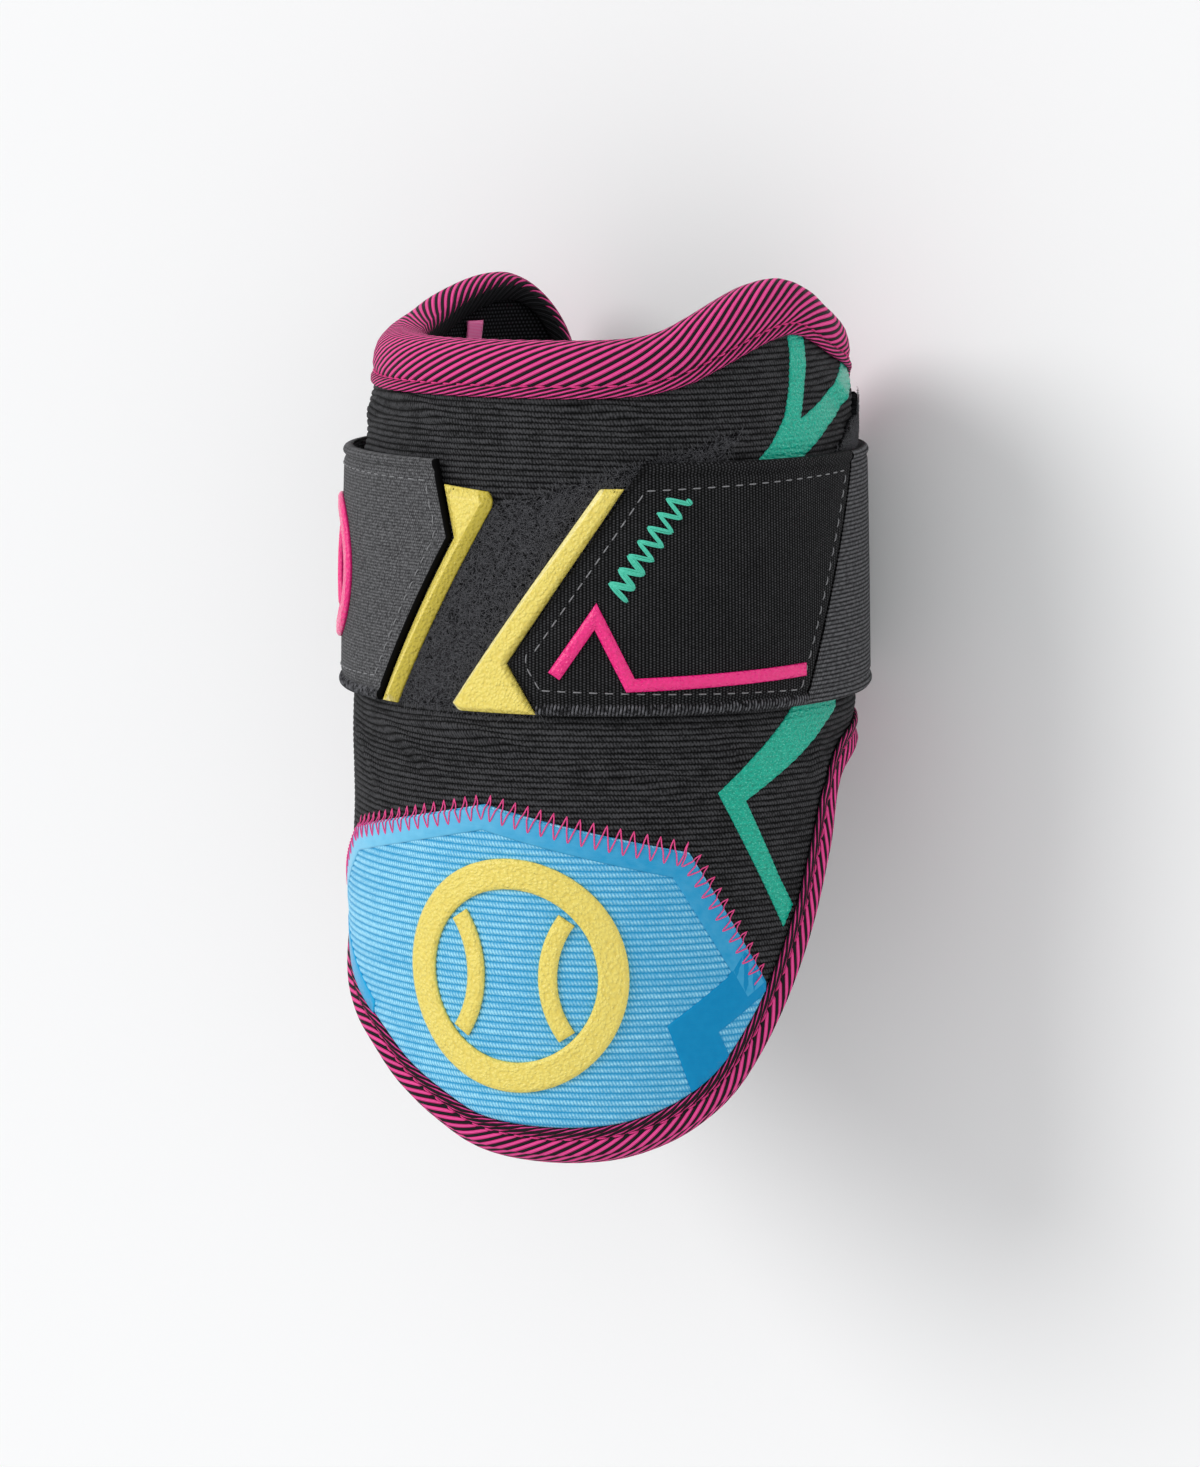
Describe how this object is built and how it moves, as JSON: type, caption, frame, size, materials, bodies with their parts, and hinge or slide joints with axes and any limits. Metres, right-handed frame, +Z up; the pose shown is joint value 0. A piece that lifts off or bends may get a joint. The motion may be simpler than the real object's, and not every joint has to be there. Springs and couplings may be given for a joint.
{
  "type": "baseball elbow guard",
  "caption": "Padded open sleeve for a batter's elbow, with a striped edge tape, a sewn elbow patch and a strap that closes on loop fabric.",
  "frame": {"origin": "on the surface that the guard lies on, below the middle of its box", "axes": "+Z up as the guard lies on its strap with the open side down, +Y along the arm towards the top rim, +X to the right seen from above with the rim at the top"},
  "size_m": [0.127, 0.2048, 0.1158],
  "materials": {
    "ribbed_cloth": "black ribbed knit over foam",
    "mesh_cloth": "black spacer mesh",
    "striped_tape": "pink and black diagonal stripe",
    "patch_cloth": "light blue coated rib",
    "yellow_moulding": "pebbled moulded rubber",
    "pink_moulding": "pebbled moulded rubber",
    "loop_cloth": "brushed loop pile",
    "woven_strap": "fine woven black",
    "elastic_strap": "ribbed black elastic",
    "satin_ribbon": "pink satin"
  },
  "bodies": {
    "root": {"padded_sleeve": "ribbed_cloth", "mesh_lining": "mesh_cloth", "edge_tape": "striped_tape", "elbow_patch": "patch_cloth", "patch_ball_ring": "yellow_moulding", "patch_ball_seam_left": "yellow_moulding", "patch_ball_seam_right": "yellow_moulding", "loop_panel": "loop_cloth", "loop_panel_side": "loop_cloth", "strap_end_right": "woven_strap", "strap_elastic": "elastic_strap", "strap_end_left": "woven_strap", "tab_right": "yellow_moulding", "tab_left": "yellow_moulding", "strap_line": "pink_moulding", "strap_ball_ring": "pink_moulding", "strap_ball_seam_left": "pink_moulding", "strap_ball_seam_right": "pink_moulding", "lining_label": "satin_ribbon"}
  },
  "joints": []
}
